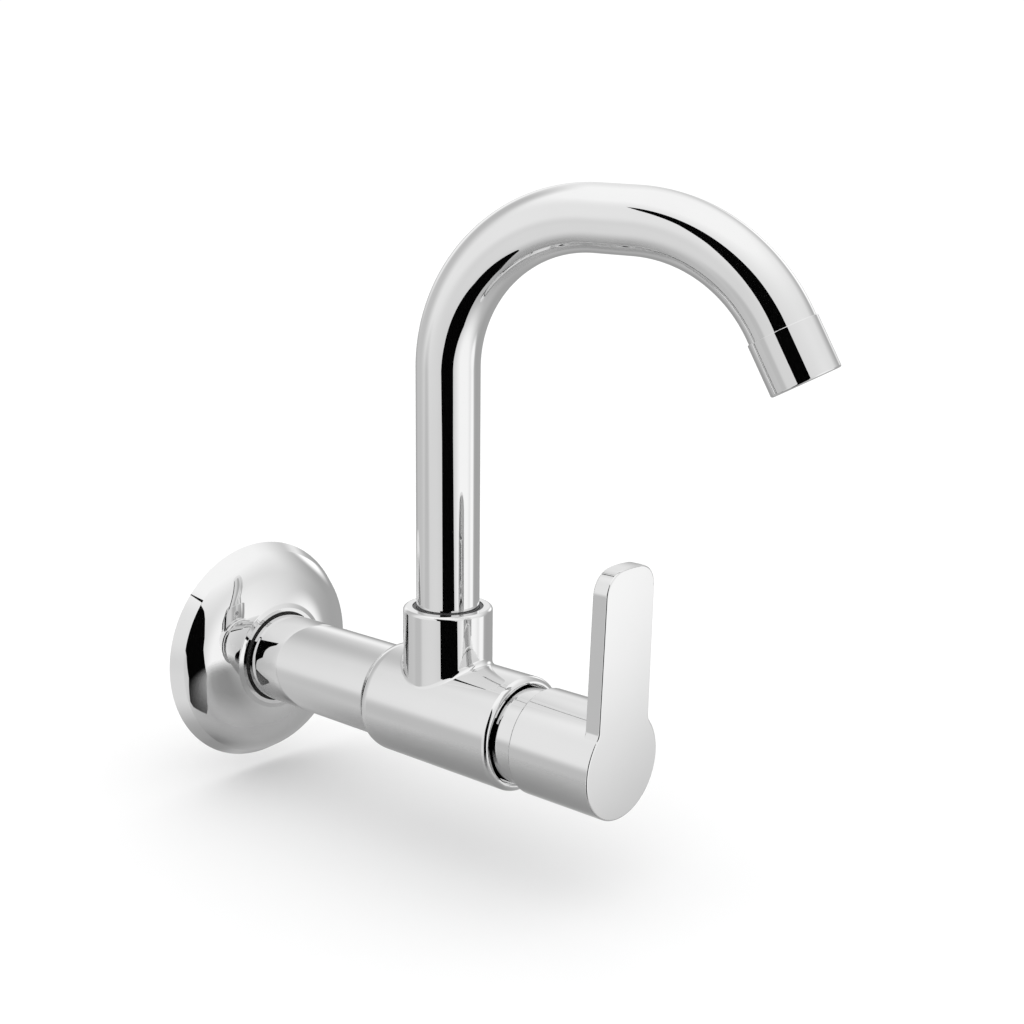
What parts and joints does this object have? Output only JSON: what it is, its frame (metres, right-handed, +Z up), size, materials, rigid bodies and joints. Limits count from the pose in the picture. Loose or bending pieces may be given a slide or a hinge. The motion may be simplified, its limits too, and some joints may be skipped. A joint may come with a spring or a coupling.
{
  "type": "wall sink tap",
  "caption": "Wall-mounted sink tap: round flange and body, quarter-turn lever at the front, and a bent tubular spout that swings, with an aerator at its end.",
  "frame": {"origin": "where the tap's own axis meets the wall, at the centre of the flange's back", "axes": "+Z up, -Y out of the wall towards the user, +X to the right of someone who faces the tap"},
  "size_m": [0.0783, 0.2194, 0.2007],
  "materials": {
    "chrome": "polished chrome plate",
    "brass": "turned",
    "ceramic": "lapped ceramic",
    "rubber": "matt",
    "fibre": "matt fibre",
    "acetal": "satin",
    "steel": "bright",
    "grey_plastic": "gloss",
    "outlet_plastic": "satin"
  },
  "bodies": {
    "tap_body": {"wall_flange": "chrome", "flange_seal": "rubber", "inlet_leg": "chrome", "inlet_leg_seal": "rubber", "valve_body": "chrome", "seat_seal": "rubber", "fixed_disc": "ceramic", "headwork_body": "brass", "headwork_washer": "fibre", "spindle_thrust_washer": "acetal", "neck_ring": "chrome", "spout_thrust_washer": "acetal", "spout_slip_ring": "acetal", "spout_grub_screw": "steel"},
    "lever": {"handle": "chrome", "handle_insert": "brass", "handle_grub_screw": "steel", "screw_cover": "grey_plastic", "spindle": "brass", "moving_disc": "ceramic", "spindle_seal_inner": "rubber", "spindle_seal_outer": "rubber", "spindle_clip": "steel"},
    "spout": {"spout_tube": "chrome", "spout_bush": "brass", "spout_seal_lower": "rubber", "spout_seal_upper": "rubber", "outlet_nipple": "brass", "aerator_cap": "chrome", "aerator_gasket": "rubber", "aerator_diffuser": "outlet_plastic", "aerator_screen": "steel", "aerator_insert": "outlet_plastic"}
  },
  "joints": [
    {"name": "spout_swivel", "type": "hinge", "parent": "tap_body", "child": "spout", "pos_m": [0, -0.0928, 0.025], "axis": [0, 0, 1], "range_deg": [-136, 104]},
    {"name": "lever_turn", "type": "hinge", "parent": "tap_body", "child": "lever", "pos_m": [0, -0.14, 0], "axis": [0, -1, 0], "range_deg": [0, 90]}
  ]
}
